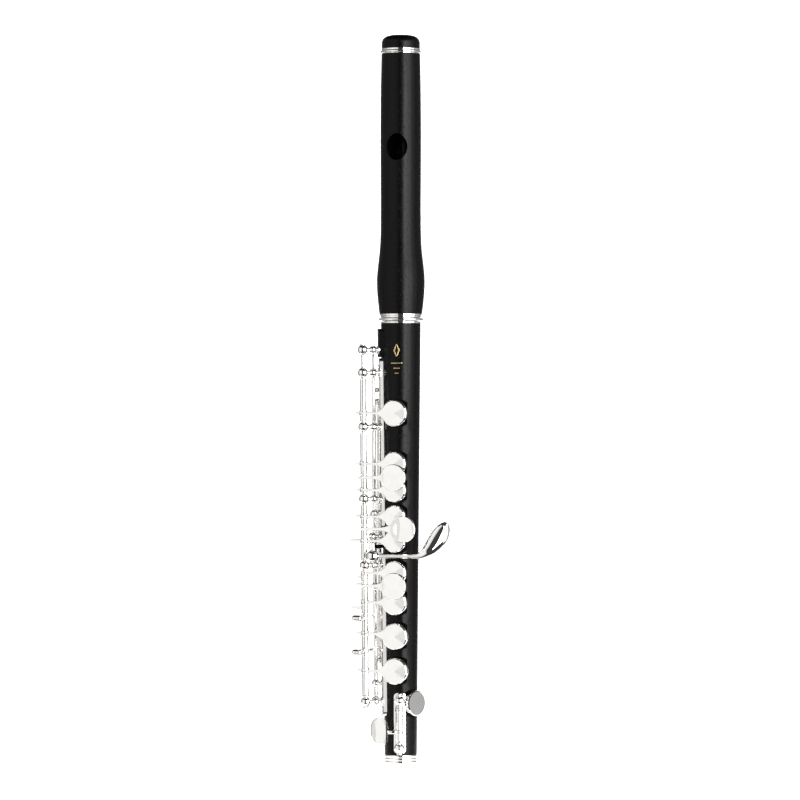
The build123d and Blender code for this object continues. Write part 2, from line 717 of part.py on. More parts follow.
def make_rods():
    top, bottom = main_post_heights[0], main_post_heights[-1]
    return {
        "main_rod_upper": along(main_line, main_rod_split + 0.1, top + ball_flat, rod_radius),
        "main_rod_lower": along(main_line, bottom - ball_flat, main_rod_split - 0.1, rod_radius),
        "d_trill_rod": along(d_trill_line, d_trill_post_heights[-1] - 1.9,
                             d_trill_post_heights[0] + 1.9, trill_rod_radius),
        "d_sharp_trill_rod": along(d_sharp_trill_line, d_sharp_trill_post_heights[1] - 1.7,
                                   d_sharp_trill_post_heights[0] + 1.7, trill_rod_radius),
        "thumb_rod": along(thumb_line, thumb_post_heights[1] - 1.7, thumb_post_heights[0] + 1.7,
                           rod_radius),
        "g_sharp_rod": along(g_sharp_line, main_post_heights[4] - 1.5, g_sharp_post_height + 1.7,
                             rod_radius),
        "foot_key_rod": along(e_flat_line, e_flat_post_heights[0] - ball_flat,
                              e_flat_post_heights[1] + ball_flat, rod_radius),
    }


def save(name, shapes):
    """Writes one node; a list becomes a group of separate solids."""
    shape = Compound(children=list(shapes)) if isinstance(shapes, list) else shapes
    export_step(shape, f"parts/{name}.step")
    print(name, round(shape.volume, 1))


def main():
    os.makedirs("parts", exist_ok=True)
    save("body_tube", make_body())
    save("tenon_cork", make_tenon_cork())
    save("body_ring", make_body_ring())
    save("foot_ring", make_foot_ring())
    save("head_tube", make_head())
    save("head_ring", make_head_ring())
    save("crown_ring", make_crown_ring())
    save("crown", make_crown())
    save("stopper_rod", make_stopper_rod())
    cork_low = stopper_plate_z + stopper_plate_thickness + seat_gap
    cork_high = cork_low + stopper_cork_length
    save("stopper_cork", stopper_collar(cork_low, cork_high, head_bore_radius - fit))
    save("stopper_nut", stopper_collar(
        cork_high + seat_gap, cork_high + stopper_nut_height, stopper_nut_radius
    ))

    for name, rib in make_ribs().items():
        save(f"{name}_key_rib", rib)
    places = rib_screw_places(rib_bottom, rib_gap_bottom) + rib_screw_places(rib_gap_top, rib_top)
    save("rib_screws", [
        screw(azimuth, z, seat_gap, rib_thickness + screw_proud) for azimuth, z in places
    ])
    saddle = strap(saddle_azimuth, saddle_bottom, saddle_top, saddle_width, 1.5, seat_gap,
                   saddle_thickness)
    for z in saddle_screw_heights:
        saddle -= seat_plane(saddle_azimuth, z, 0) * Cylinder(saddle_screw_radius + seat_gap, 6)
    save("foot_key_saddle", saddle)
    save("saddle_screws", [
        seat_plane(saddle_azimuth, z, seat_gap)
        * Cylinder(saddle_screw_radius, saddle_thickness - seat_gap, align=bottom_up)
        for z in saddle_screw_heights
    ])

    for name, posts in make_posts().items():
        save(name, posts)
    for name, rod in make_rods().items():
        save(name, rod)
    save("pivot_screws", ends_of(main_line, main_post_heights[-1], main_post_heights[0])
         + ends_of(e_flat_line, *e_flat_post_heights))
    save("needle_springs", [
        spring(main_post_heights[number], length) for number, length in main_springs.items()
    ])

    for name, key in main_keys.items():
        save(f"{name}_key", make_main_key(name, key))
        disc = pad(90, key.cup_z, key.cup_r)
        save(f"{name}_pad", open_rest(disc, main_line, -main_open_angle))
    save("g_sharp_key", make_g_sharp_key())
    save("e_flat_key", make_e_flat_key())
    post_ball = ball_radius - 0.2 + key_gap
    save("d_trill_key", make_trill_key(
        d_trill_line, d_trill_post_heights[-1] + post_ball, d_trill_post_heights[1] - post_ball,
        d_trill_cup, d_trill_touch_z,
        line_point(d_trill_line, d_trill_touch_z) + Vector(-4.8, -1.7, 0),
    ))
    back_ball = back_ball_radius + key_gap
    save("d_sharp_trill_key", make_trill_key(
        d_sharp_trill_line, d_sharp_trill_post_heights[1] + back_ball,
        d_sharp_trill_post_heights[0] - back_ball, d_sharp_trill_cup, d_sharp_trill_touch_z,
        line_point(d_trill_line, d_sharp_trill_touch_z) + Vector(-3.4, 1.5, 0),
    ))
    for name, cup in (("g_sharp", g_sharp_cup), ("e_flat", e_flat_cup), ("d_trill", d_trill_cup),
                      ("d_sharp_trill", d_sharp_trill_cup)):
        save(f"{name}_pad", pad(cup.azimuth, cup.z, cup.radius))
    thumb_low = thumb_post_heights[1] + back_ball
    thumb_high = thumb_post_heights[0] - back_ball
    flat_touch_z, b_touch_z = thumb_touch_heights
    save("thumb_b_key", make_thumb_key(thumb_split + key_gap, thumb_high, b_touch_z, thumb_cup))
    save("thumb_b_flat_key", make_thumb_key(thumb_low, thumb_split, flat_touch_z, None))
    disc = pad(thumb_cup.azimuth, thumb_cup.z, thumb_cup.radius)
    save("thumb_b_pad", open_rest(disc, thumb_line, thumb_open_angle))


main()
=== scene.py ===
import json

import bmesh
import bpy
import numpy as np
from math import asin, cos, hypot, pi, radians, sin, tan
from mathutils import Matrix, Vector


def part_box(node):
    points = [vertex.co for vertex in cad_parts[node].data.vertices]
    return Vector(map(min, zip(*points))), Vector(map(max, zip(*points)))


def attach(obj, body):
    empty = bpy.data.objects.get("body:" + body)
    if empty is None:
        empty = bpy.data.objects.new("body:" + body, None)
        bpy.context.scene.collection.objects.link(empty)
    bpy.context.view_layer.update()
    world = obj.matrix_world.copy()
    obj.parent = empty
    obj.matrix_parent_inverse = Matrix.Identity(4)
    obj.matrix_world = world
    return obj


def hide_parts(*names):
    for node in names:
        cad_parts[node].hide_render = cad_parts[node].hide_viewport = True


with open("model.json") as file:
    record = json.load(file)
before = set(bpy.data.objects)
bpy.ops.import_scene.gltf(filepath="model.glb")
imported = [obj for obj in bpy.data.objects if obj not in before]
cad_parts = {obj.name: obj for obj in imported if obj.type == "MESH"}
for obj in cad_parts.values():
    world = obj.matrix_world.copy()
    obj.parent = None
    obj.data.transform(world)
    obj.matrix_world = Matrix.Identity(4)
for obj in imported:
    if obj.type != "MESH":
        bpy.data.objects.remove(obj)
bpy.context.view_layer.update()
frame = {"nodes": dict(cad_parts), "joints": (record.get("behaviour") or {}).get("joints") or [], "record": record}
nodes = frame["nodes"]
joints = {joint["name"]: joint for joint in frame["joints"]}
mm = 0.001
up = (0, 0, 1)
print("frame loaded:", len(nodes), "nodes")


def unit(vectors):
    vectors = np.asarray(vectors, float)
    return vectors / np.linalg.norm(vectors, axis=-1, keepdims=True)


# Turns points about an axis: along it they stay, across it they swing by the angle
def rotateAbout(points, origin, axis, angle):
    arm, axis = np.asarray(points, float) - origin, unit(axis)
    along = (arm @ axis)[..., None] * axis
    return origin + along + (arm - along) * cos(angle) + np.cross(axis, arm) * sin(angle)


# Rounds the corners of a row of points, in 2-D or 3-D: each corner becomes a quadratic curve
# that leaves one side and meets the next at the given distance, limited by the shorter side
def roundCorners(points, distance, steps=5):
    points = np.asarray(points, float)
    before, corner, after = points[:-2], points[1:-1], points[2:]
    shorter = np.minimum(np.linalg.norm(corner - before, axis=1),
                         np.linalg.norm(after - corner, axis=1))
    reach = np.minimum(distance, shorter * 0.48)[:, None]
    start = corner + unit(before - corner) * reach
    end = corner + unit(after - corner) * reach
    t = np.linspace(0, 1, steps)[None, :, None]
    curves = ((1 - t) ** 2 * start[:, None] + 2 * t * (1 - t) * corner[:, None]
              + t ** 2 * end[:, None])
    return np.vstack([points[:1], curves.reshape(-1, points.shape[1]), points[-1:]])


# Surface of revolution: each (radius, height) of the profile goes once round the axis,
# at origin + height * axis + radius * (cos u, sin u) across it
def turnedShell(profile, origin, axis, sides=48, loop=False):
    profile, axis = np.asarray(profile, float), unit(axis)
    offAxis = (0.31, 0.87, 0.13)  # any direction that no axis here runs along
    across = unit(np.cross(axis, offAxis))
    u = np.linspace(0, 2 * pi, sides, endpoint=False)
    ring = np.outer(np.cos(u), across) + np.outer(np.sin(u), np.cross(axis, across))
    points = np.asarray(origin) + profile[:, 1, None, None] * axis + profile[:, :1, None] * ring
    return points, loop


# Profile carried along a path: at each point a squared-off oval, half the width times cos u
# along the side direction and half the height times sin u across it; both ends draw to a point
endCap = dict(length=0.35, share=0.7)


def carriedShell(path, halfWidth, halfHeight, side, squareness=2.6, around=20):
    path = np.asarray(path, float)
    count = len(path)
    tangent = unit(np.gradient(path, axis=0))
    side = unit(np.broadcast_to(side, path.shape))
    rise = unit(np.cross(tangent, side))
    width = np.broadcast_to(halfWidth, count)
    height = np.broadcast_to(halfHeight, count)
    u = np.linspace(0, 2 * pi, around, endpoint=False)
    c = np.sign(np.cos(u)) * np.abs(np.cos(u)) ** (2 / squareness)
    s = np.sign(np.sin(u)) * np.abs(np.sin(u)) ** (2 / squareness)
    rings = (path[:, None] + (width[:, None] * c)[..., None] * side[:, None]
             + (height[:, None] * s)[..., None] * rise[:, None])
    rounding = np.minimum(width, height)[[0, -1]] * endCap["length"]
    first = path[0] - tangent[0] * rounding[0]
    last = path[-1] + tangent[-1] * rounding[1]
    starts = [first + (rings[0] - path[0]) * share for share in (0, endCap["share"])]
    ends = [last + (rings[-1] - path[-1]) * share for share in (endCap["share"], 0)]
    return np.concatenate([starts, rings, ends]), False


# Joins the shells' grids into one list of points and one of quads: columns run round to the
# first again unless the grids are open, rows only in a loop
def joinGrids(shells, closed=True):
    points, quads, offset = [], [], 0
    for grid, loop in shells:
        rows, columns = grid.shape[:2]
        number = offset + np.arange(rows * columns).reshape(rows, columns)
        upper = np.roll(number, -1, axis=0) if loop else number[1:]
        lower = number if loop else number[:-1]
        quad = np.stack([lower, np.roll(lower, -1, 1), np.roll(upper, -1, 1), upper], -1)
        quads.append((quad if closed else quad[:, :-1]).reshape(-1, 4))
        points.append(grid.reshape(-1, 3))
        offset += rows * columns
    return np.concatenate(points).tolist(), np.concatenate(quads).tolist()


# Makes one piece from shells: a closed piece is welded at its seams and poles, faces outwards
# and has its sharp edges marked; an inlay is an open skin that lies on another piece
weldDistance, sharpAngle = 1e-6, 38


def makePiece(name, shells, body, material, stands=(), inlay=False):
    points, quads = joinGrids(shells, closed=not inlay)
    mesh = bpy.data.meshes.new(name)
    mesh.from_pydata(points, [], quads)
    mesh.polygons.foreach_set("use_smooth", np.ones(len(mesh.polygons), bool))
    if not inlay:
        work = bmesh.new()
        work.from_mesh(mesh)
        bmesh.ops.remove_doubles(work, verts=work.verts, dist=weldDistance)
        bmesh.ops.recalc_face_normals(work, faces=work.faces)
        work.to_mesh(mesh)
        work.free()
        mesh.set_sharp_from_angle(angle=radians(sharpAngle))
    mesh.materials.append(material)
    piece = bpy.data.objects.new(name, mesh)
    bpy.context.scene.collection.objects.link(piece)
    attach(piece, body)
    if stands:
        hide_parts(*stands)


def newGroup(name, inputs, outputs):
    group = bpy.data.node_groups.new(name, "ShaderNodeTree")
    for label, kind, value in inputs:
        socket = group.interface.new_socket(label, in_out="INPUT", socket_type=kind)
        socket.default_value = value
    for label, kind in outputs:
        group.interface.new_socket(label, in_out="OUTPUT", socket_type=kind)
    return group, group.nodes.new("NodeGroupInput"), group.nodes.new("NodeGroupOutput")


def addNode(tree, kind, values=(), **settings):
    node = tree.nodes.new(kind)
    for key, value in settings.items():
        setattr(node, key, value)
    for key, value in dict(values).items():
        node.inputs[key].default_value = value
    return node


# Fine pores and streaks drawn out along the bore, with a height for the bump
def makeWoodGrain():
    group, source, sink = newGroup(
        "woodGrain",
        [("Streak scale", "NodeSocketFloat", 700.0), ("Pore share", "NodeSocketFloat", 0.5),
         ("Dark", "NodeSocketColor", (0.01, 0.009, 0.008, 1)),
         ("Light", "NodeSocketColor", (0.05, 0.04, 0.035, 1))],
        [("Color", "NodeSocketColor"), ("Roughness", "NodeSocketFloat"),
         ("Height", "NodeSocketFloat")])
    link = group.links.new
    place = addNode(group, "ShaderNodeTexCoord")
    stretch = addNode(group, "ShaderNodeMapping", {"Scale": (1, 1, 0.07)})
    streak = addNode(group, "ShaderNodeTexNoise", {"Detail": 6.0, "Roughness": 0.62})
    pit = addNode(group, "ShaderNodeMapping", {"Scale": (1, 1, 0.3)})
    pore = addNode(group, "ShaderNodeTexVoronoi", {"Scale": 1500.0, "Randomness": 1.0})
    poreEdge = addNode(group, "ShaderNodeMapRange", {"From Min": 0.1, "From Max": 0.3})
    poreMask = addNode(group, "ShaderNodeMath", operation="MULTIPLY")
    patch = addNode(group, "ShaderNodeTexNoise", {"Scale": 160.0, "Detail": 3.0})
    mix = addNode(group, "ShaderNodeMix", data_type="RGBA")
    speck = addNode(group, "ShaderNodeMix", data_type="RGBA")
    speck.inputs[7].default_value = (0.014, 0.011, 0.01, 1)
    rough = addNode(group, "ShaderNodeMapRange", {"To Min": 0.2, "To Max": 0.34})
    pitted = addNode(group, "ShaderNodeMath", operation="ADD")
    height = addNode(group, "ShaderNodeMath", operation="SUBTRACT")
    invert = addNode(group, "ShaderNodeMath", operation="SUBTRACT")
    invert.inputs[0].default_value = 1.0
    link(place.outputs["Object"], stretch.inputs["Vector"])
    link(stretch.outputs[0], streak.inputs["Vector"])
    link(place.outputs["Object"], pit.inputs["Vector"])
    link(pit.outputs[0], pore.inputs["Vector"])
    link(place.outputs["Object"], patch.inputs["Vector"])
    link(source.outputs["Streak scale"], streak.inputs["Scale"])
    link(pore.outputs["Distance"], poreEdge.inputs["Value"])
    link(poreEdge.outputs[0], invert.inputs[1])
    link(invert.outputs[0], poreMask.inputs[0])
    link(source.outputs["Pore share"], poreMask.inputs[1])
    link(streak.outputs[0], mix.inputs[0])
    link(source.outputs["Dark"], mix.inputs[6])
    link(source.outputs["Light"], mix.inputs[7])
    link(mix.outputs[2], speck.inputs[6])
    link(poreMask.outputs[0], speck.inputs[0])
    link(speck.outputs[2], sink.inputs["Color"])
    link(patch.outputs[0], rough.inputs["Value"])
    link(rough.outputs[0], pitted.inputs[0])
    link(poreMask.outputs[0], pitted.inputs[1])
    link(pitted.outputs[0], sink.inputs["Roughness"])
    link(streak.outputs[0], height.inputs[0])
    link(poreMask.outputs[0], height.inputs[1])
    link(height.outputs[0], sink.inputs["Height"])
    return group


# Faint clouding and hairline polishing marks, all of them very shallow
def makePolish():
    group, source, sink = newGroup(
        "polish",
        [("Smooth", "NodeSocketFloat", 0.045), ("Clouded", "NodeSocketFloat", 0.11),
         ("Bright", "NodeSocketColor", (0.95, 0.94, 0.92, 1)),
         ("Dull", "NodeSocketColor", (0.84, 0.82, 0.79, 1))],
        [("Color", "NodeSocketColor"), ("Roughness", "NodeSocketFloat"),
         ("Height", "NodeSocketFloat")])
    link = group.links.new
    place = addNode(group, "ShaderNodeTexCoord")
    cloud = addNode(group, "ShaderNodeTexNoise", {"Scale": 240.0, "Detail": 5.0, "Roughness": 0.6})
    turn = addNode(group, "ShaderNodeMapping",
                   {"Rotation": (0.6, 0.4, 0.9), "Scale": (1.0, 0.05, 1.0)})
    hair = addNode(group, "ShaderNodeTexNoise", {"Scale": 5200.0, "Detail": 2.0})
    mix = addNode(group, "ShaderNodeMix", data_type="RGBA")
    rough = addNode(group, "ShaderNodeMapRange", {"From Min": 0.35, "From Max": 0.75})
    link(place.outputs["Object"], cloud.inputs["Vector"])
    link(place.outputs["Object"], turn.inputs["Vector"])
    link(turn.outputs[0], hair.inputs["Vector"])
    link(cloud.outputs[0], rough.inputs["Value"])
    link(source.outputs["Smooth"], rough.inputs["To Min"])
    link(source.outputs["Clouded"], rough.inputs["To Max"])
    link(cloud.outputs[0], mix.inputs[0])
    link(source.outputs["Bright"], mix.inputs[6])
    link(source.outputs["Dull"], mix.inputs[7])
    link(mix.outputs[2], sink.inputs["Color"])
    link(rough.outputs[0], sink.inputs["Roughness"])
    link(hair.outputs[0], sink.inputs["Height"])
    return group


woodGrain = makeWoodGrain()
polish = makePolish()


def newMaterial(name, group, groupValues, shaderValues, bump):
    material = bpy.data.materials.new(name)
    material.use_nodes = True
    tree = material.node_tree
    shader = tree.nodes["Principled BSDF"]
    for key, value in shaderValues.items():
        shader.inputs[key].default_value = value
    effect = addNode(tree, "ShaderNodeGroup", node_tree=group)
    for key, value in groupValues.items():
        effect.inputs[key].default_value = value
    relief = addNode(tree, "ShaderNodeBump", {"Strength": bump[0], "Distance": bump[1]})
    tree.links.new(effect.outputs["Color"], shader.inputs["Base Color"])
    tree.links.new(effect.outputs["Roughness"], shader.inputs["Roughness"])
    tree.links.new(effect.outputs["Height"], relief.inputs["Height"])
    tree.links.new(relief.outputs[0], shader.inputs["Normal"])
    return material


blackwood = newMaterial(
    "blackwood", woodGrain,
    {"Pore share": 0.35, "Dark": (0.0007, 0.0006, 0.0006, 1),
     "Light": (0.0028, 0.0021, 0.0019, 1)},
    {"Specular IOR Level": 0.13}, (0.3, 0.0001))
silver = newMaterial(
    "silverPlate", polish, {}, {"Metallic": 1.0}, (0.05, 0.00002))
brightSilver = newMaterial(
    "mirrorSilver", polish, {"Smooth": 0.03, "Clouded": 0.07}, {"Metallic": 1.0}, (0.02, 0.00002))
steel = newMaterial(
    "drawnSteel", polish,
    {"Bright": (0.62, 0.63, 0.66, 1), "Dull": (0.45, 0.46, 0.5, 1), "Smooth": 0.16,
     "Clouded": 0.3}, {"Metallic": 1.0}, (0.15, 0.00003))
padSkin = newMaterial(
    "padSkin", polish,
    {"Bright": (0.9, 0.82, 0.66, 1), "Dull": (0.78, 0.66, 0.47, 1), "Smooth": 0.45,
     "Clouded": 0.62}, {"Sheen Weight": 0.15}, (0.2, 0.0001))
corkSleeve = newMaterial(
    "cork", woodGrain,
    {"Streak scale": 900.0, "Pore share": 0.8, "Dark": (0.22, 0.11, 0.05, 1),
     "Light": (0.5, 0.3, 0.15, 1)}, {}, (0.6, 0.0003))
slotMaterials = {"blackwood": blackwood, "silver_plate": silver, "steel": steel,
                 "pad_skin": padSkin, "cork": corkSleeve}
print("materials made")


# Carried-over frame nodes keep their meshes: welded, smooth where they curve, real materials
nodeEdgeAngle = 32
slotOf = {part["node"]: part["material_slot"] for part in frame["record"]["subparts"]}
for name, node in nodes.items():
    node.data.materials.clear()
    node.data.materials.append(slotMaterials[slotOf[name]])
    node.data.polygons.foreach_set("use_smooth", np.ones(len(node.data.polygons), bool))
    weld = node.modifiers.new("weld", "WELD")
    weld.merge_threshold = weldDistance
    split = node.modifiers.new("edges", "EDGE_SPLIT")
    split.split_angle = radians(nodeEdgeAngle)


def jointLine(jointName):
    joint = joints[jointName]
    return np.array(joint["pos_m"], float), unit(joint["axis"])


def linePoint(jointName, z):
    origin, axis = jointLine(jointName)
    return origin + axis * (z - origin[2]) / axis[2]


# Centre and half height of a node's box
def middleOf(name):
    low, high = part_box(name)
    return np.array((low + high) / 2), (high[2] - low[2]) / 2


# Finger keys on the main rod; the arm meets the cup's rim at rimAngle, the knuckle's inset and
# half length are in mm like the tubes' ends, the riser lifts a touch's arm off the tube
keyShape = dict(
    tubeRadius=1.6 * mm, boreRadius=0.8 * mm, collar=0.14 * mm, cupWall=0.75 * mm,
    padThickness=1.7 * mm, padProud=0.4 * mm, padSqueeze=0.05 * mm, cupBack=0.9 * mm,
    cone=0.34 * mm, neck=0.62 * mm, armHeight=0.46 * mm, armSeat=0.5, rimAngle=48,
    flareLength=3.4 * mm, knuckleInset=1.2, knuckleHalf=1.1, knuckleProud=0.25 * mm,
    tailWidth=0.8, tailTaper=0.25, tailHeight=0.5 * mm, tailCap=0.4 * mm,
    touchRadius=5.9 * mm, touchThickness=1.1 * mm, touchDish=0.2 * mm, touchLift=0.3 * mm,
    touchArmInset=0.3 * mm, touchArmShort=3.2 * mm, touchNeck=0.75 * mm, touchSpan=3.4 * mm,
    touchArmDrop=0.5 * mm, touchArmHeight=0.42 * mm, touchFlare=0.45,
    riserDrop=0.7 * mm, riser=(0.7 * mm, 0.75 * mm),
)
# tube: lower and upper end; arm: its height where it isn't the cup's; tails: height, length;
# touch: x and height of the raised round touch; dish: how hollow it is; all but the last in mm
mainKeys = {
    "c": dict(tube=(150.2, 169.1), tails=[(153.8, 2.3)]),
    "b_flat": dict(tube=(127.0, 145.4), tails=[(131.7, 2.3)]),
    "a": dict(tube=(118.8, 126.8), tails=[(120.2, 2.3), (125.4, 1.6)], touch=(0.0, 125.7)),
    "g_upper": dict(tube=(105.0, 113.8), tails=[(108.6, 2.3)]),
    "g": dict(tube=(89.4, 104.8), tails=[(98.0, 5.2)], touch=(4.4, 103.2), dish=0.62 * mm),
    "f_sharp": dict(tube=(80.0, 84.7), tails=[(82.0, 1.8)], arm=83.9),
    "f": dict(tube=(66.0, 79.8), tails=[(78.9, 2.6), (68.5, 4.6)], touch=(0.0, 78.3)),
    "e": dict(tube=(48.0, 65.8), tails=[(57.4, 2.3)], arm=57.4),
    "d": dict(tube=(29.6, 47.8), tails=[(41.1, 2.3)]),
}


# Hinge tube with a small collar at each end and its bore left open
def tubeShell(jointName, low, high, radius, bore, collar):
    start, end = linePoint(jointName, low * mm), linePoint(jointName, high * mm)
    length, step = np.linalg.norm(end - start), 0.55 * mm
    profile = [(bore, 0), (radius - collar, 0), (radius, collar), (radius, step),
               (radius - collar, step + collar), (radius - collar * 0.6, step * 2)]
    profile += [(r, length - h) for r, h in reversed(profile)]
    return turnedShell(profile, start, end - start, 40, loop=True)


# Pad cup: an open rim towards the wood, a rounded shoulder and a back that rises as a shallow
# cone, its point rounded by adding a small constant under the root
def cupShell(centre, outward, radius):
    s = keyShape
    top, rim = s["padThickness"] + s["cupBack"], s["padProud"]
    outline = roundCorners([
        (0, s["padThickness"]), (radius - s["cupWall"], s["padThickness"]),
        (radius - s["cupWall"], rim), (radius, rim), (radius + 0.06 * mm, rim + 0.7 * mm),
        (radius, top - 0.45 * mm), (radius - 0.45 * mm, top),
    ], 0.14 * mm)
    share = np.linspace(1, 0, 16)[:, None]
    back = np.hstack([share * (radius - 0.6 * mm),
                      top + s["cone"] * (1.02 - np.sqrt(share ** 2 + 0.0004))])
    return turnedShell(np.vstack([outline, back]), centre, outward, 72)


# Round touch: rounded edge, slightly hollow face, gently domed underside
def touchShell(centre, outward, dish):
    s = keyShape
    radius, thick = s["touchRadius"], s["touchThickness"]
    edge = roundCorners([
        (0, 0), (radius * 0.8, 0), (radius - 0.12 * mm, 0.25 * mm), (radius, thick * 0.6),
        (radius - 0.3 * mm, thick),
    ], 0.3 * mm)
    inward = np.linspace(1, 0, 16)[:, None] * (radius - 0.5 * mm)
    share = inward / (radius - 0.5 * mm)
    face = np.hstack([inward, thick - dish * (1 - share ** 2)])
    return turnedShell(np.vstack([edge, face]), centre, outward, 80)


# Arm that flares into a cup: its half width grows from the neck with the cube of the way in
def flaredArm(root, rim, neckWidth, rimWidth, rootZ, cupZ, y, halfHeight, flareFrom):
    t = np.linspace(0, 1, 34)
    x = root + (rim - root) * t
    flare = np.clip((t - flareFrom) / (1 - flareFrom), 0, 1)
    width = neckWidth + (rimWidth - neckWidth) * flare ** 2.3
    z = rootZ + (cupZ - rootZ) * flare ** 2
    path = np.stack([x, np.full_like(x, y), z], axis=1)
    return carriedShell(path, width, halfHeight, up, 3.4, 24)


# Lug behind the tube, tapering to a rounded tip
def tailShell(start, length, radius):
    s = keyShape
    t = np.linspace(0, 1, 10)[:, None]
    path = start + np.array([-(radius + length - s["tailCap"]), 0, 0]) * t
    width = (s["tailWidth"] - s["tailTaper"] * t[:, 0]) * mm
    return carriedShell(path, width, s["tailHeight"], up, 3.0, 16)


# Raised round touch with its own flared arm and the riser that lifts the arm off the tube
def raisedTouch(hinge, made, faceY, outward):
    s = keyShape
    x, z = made["touch"][0] * mm, made["touch"][1] * mm
    base = faceY - (s["padThickness"] + s["cupBack"] + s["touchLift"])
    root = linePoint(hinge, z)
    top = np.array([root[0], base - s["riserDrop"], z])
    riser = root + (top - root) * np.linspace(0, 1, 6)[:, None]
    return [
        touchShell((x, base, z), outward, made.get("dish", s["touchDish"])),
        flaredArm(root[0] - s["touchArmInset"], x - s["touchArmShort"], s["touchNeck"],
                  s["touchSpan"], z, z, base - s["touchArmDrop"], s["touchArmHeight"],
                  s["touchFlare"]),
        carriedShell(riser, *s["riser"], up, 3.0, 16),
    ]


# A finger key is drawn closed on its tone hole and then swung open to where it rests
def buildMainKey(name, made):
    s = keyShape
    hinge = f"{name}_key_hinge"
    origin, axis = jointLine(hinge)
    opening = radians(joints[hinge]["range_deg"][1])
    restCentre, halfHeight = middleOf(f"{name}_pad")
    padMiddle = rotateAbout(restCentre, origin, axis, opening)
    outward = np.array([0.0, -1.0, 0.0])
    face = padMiddle - outward * s["padThickness"] / 2
    radius = halfHeight + s["cupWall"] - s["padSqueeze"]
    cupZ = padMiddle[2]
    armZ = made.get("arm", cupZ / mm) * mm
    root = linePoint(hinge, armZ)
    plateY = face[1] - (s["padThickness"] + s["cupBack"] * s["armSeat"])
    rimAngle = radians(s["rimAngle"])
    rim, span = -radius * cos(rimAngle), radius * sin(rimAngle)
    neckEnd = (-radius - s["flareLength"] - root[0]) / (rim - root[0])
    low, high = made["tube"]
    knuckle = max(low + s["knuckleInset"], min(high - s["knuckleInset"], armZ / mm))
    shells = [
        tubeShell(hinge, low, high, s["tubeRadius"], s["boreRadius"], s["collar"]),
        tubeShell(hinge, knuckle - s["knuckleHalf"], knuckle + s["knuckleHalf"],
                  s["tubeRadius"] + s["knuckleProud"], s["tubeRadius"], s["collar"]),
        cupShell(face, outward, radius),
        flaredArm(root[0], rim, s["neck"], span, armZ, cupZ, plateY, s["armHeight"], neckEnd),
    ]
    if "touch" in made:
        shells += raisedTouch(hinge, made, face[1], outward)
    for z, length in made["tails"]:
        shells.append(tailShell(linePoint(hinge, z * mm), length * mm, s["tubeRadius"]))
    opened = [(rotateAbout(grid, origin, axis, -opening), loop) for grid, loop in shells]
    makePiece(f"{name}KeyWork", opened, f"{name}_key", silver, (f"{name}_key",))


for name, made in mainKeys.items():
    buildMainKey(name, made)
print("finger keys made")


# The body's wood is a straight taper: its outer radius at a height grows evenly from the foot
woodTaper = dict(start=4, length=189.3, lowRadius=7.14, highRadius=8.81)


def woodRadius(z):
    s = woodTaper
    return (s["lowRadius"] * mm
            + (z - s["start"] * mm) * (s["highRadius"] - s["lowRadius"]) / s["length"])


# A point at a bearing round the bore, from -X towards -Y, and a height above the wood
def onWood(bearing, z, height):
    a, r = radians(bearing), woodRadius(z) + height
    return np.array([-cos(a) * r, -sin(a) * r, z])


def away(point):
    return unit([point[0], point[1], 0])


# Squared-off oval plate: its profile gives (share of the half sizes, height along the normal)
def ovalShell(profile, centre, normal, half, squareness=2.4, around=64):
    normal, upright = unit(normal), np.array([0.0, 0.0, 1.0])
    side = unit(np.cross(upright, normal))
    u = np.linspace(0, 2 * pi, around, endpoint=False)
    c = np.sign(np.cos(u)) * np.abs(np.cos(u)) ** (2 / squareness) * half[0]
    s = np.sign(np.sin(u)) * np.abs(np.sin(u)) ** (2 / squareness) * half[1]
    ring = c[:, None] * side + s[:, None] * np.cross(normal, side)
    profile = np.asarray(profile, float)
    return centre + profile[:, 1, None, None] * normal + profile[:, :1, None] * ring, False


# A touch plate's profile: flat back, rounded edge, face domed by a parabola
def plateProfile(thickness, dome, edge):
    rim = roundCorners([(0, 0), (1 - edge, 0), (1, thickness * 0.35), (1, thickness * 0.65),
                        (1 - edge, thickness)], edge * 0.8)
    share = np.linspace(1 - edge, 0, 12)[:, None]
    face = np.hstack([share, thickness + dome * (1 - (share / (1 - edge)) ** 2)])
    return np.vstack([rim, face])


# Posts: a drilled ball turned about its rod, on a flared stem turned about the outward line;
# carrier is what the foot stands on, with its thickness
postShape = dict(
    foot=1.9 * mm, stem=0.8 * mm, step=0.8 * mm, sink=0.15 * mm, rib=1.2 * mm, block=1.6 * mm,
    saddle=1.0 * mm, wood=0.0, bead=1.75 * mm, beadDrop=4.6 * mm, beadFrom=4.5 * mm,
)
# hinge, ball and bore radius, carrier, heights, all in mm; the last two rows of the trill posts
# are the guides that the long tube runs through and the second line
posts = {
    "main_posts": [("c_key_hinge", 2.3, 0.77, "block", (181.6,)),
                   ("c_key_hinge", 2.3, 0.77, "rib", (171.6, 147.9, 116.3, 87.1, 27.3))],
    "trill_posts": [("d_trill_key_hinge", 2.1, 0.57, "block", (181.6,)),
                    ("d_trill_key_hinge", 2.1, 0.57, "rib", (171.6, 27.3)),
                    ("d_trill_key_hinge", 1.9, 1.1, "rib", (147.9, 109.5, 77.5, 34.9)),
                    ("d_sharp_trill_key_hinge", 1.9, 0.57, "rib", (158.5, 44.5))],
    "g_sharp_post": [("g_sharp_key_hinge", 1.9, 0.77, "rib", (99.8,))],
    "thumb_posts": [("thumb_b_key_hinge", 1.9, 0.77, "wood", (146.9, 116.0))],
    "foot_key_posts": [("e_flat_key_hinge", 2.3, 0.77, "saddle", (7.4, 28.2))],
}
# the fifth main post also carries the lower end of the G sharp rod
sharedBall = dict(hinge="g_sharp_key_hinge", z=87.1 * mm, ball=1.9 * mm, bore=0.77 * mm, sides=40)


